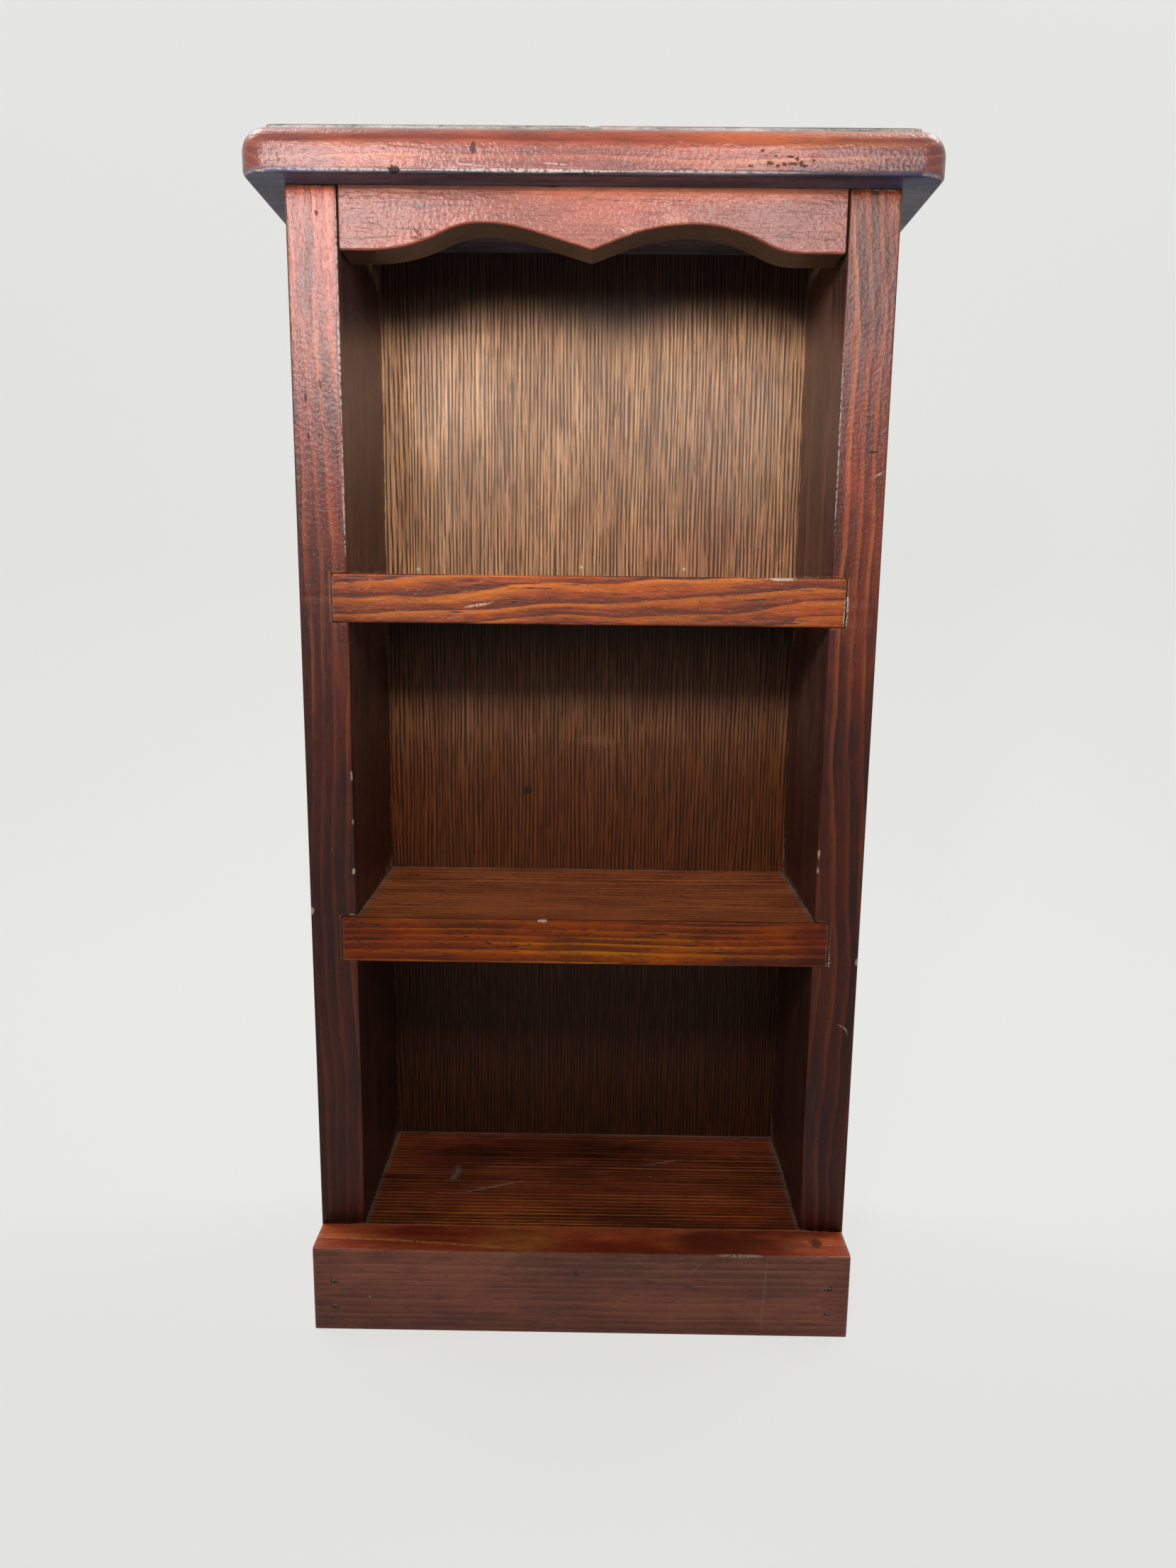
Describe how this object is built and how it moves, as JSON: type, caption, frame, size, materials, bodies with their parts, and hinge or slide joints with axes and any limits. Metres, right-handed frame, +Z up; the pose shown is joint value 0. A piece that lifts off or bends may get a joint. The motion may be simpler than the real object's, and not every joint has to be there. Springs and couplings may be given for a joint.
{
  "type": "shelving unit",
  "caption": "Small standing wooden shelf unit with housed shelves, a moulded top, a scalloped apron, a plinth board and a plywood back.",
  "frame": {"origin": "middle of the footprint, on the floor: halfway across the case and halfway between the plinth board's front and the back", "axes": "+X to the right as seen from the front, +Y to the back, +Z up"},
  "size_m": [0.256, 0.108, 0.4794],
  "materials": {
    "stained_pine": "red-brown stain under worn gloss varnish",
    "stained_plywood": "red-brown stain, open grain",
    "nail_steel": "dull steel, heads dark with stain"
  },
  "bodies": {
    "root": {"left_side": "stained_pine", "right_side": "stained_pine", "bottom_shelf": "stained_pine", "lower_shelf": "stained_pine", "upper_shelf": "stained_pine", "plinth_board": "stained_pine", "top_board": "stained_pine", "scalloped_apron": "stained_pine", "back_panel": "stained_plywood", "plinth_nails": "nail_steel", "top_nails": "nail_steel", "apron_nails": "nail_steel", "bottom_shelf_nails": "nail_steel", "lower_shelf_nails": "nail_steel", "upper_shelf_nails": "nail_steel", "back_panel_brads": "nail_steel"}
  },
  "joints": []
}
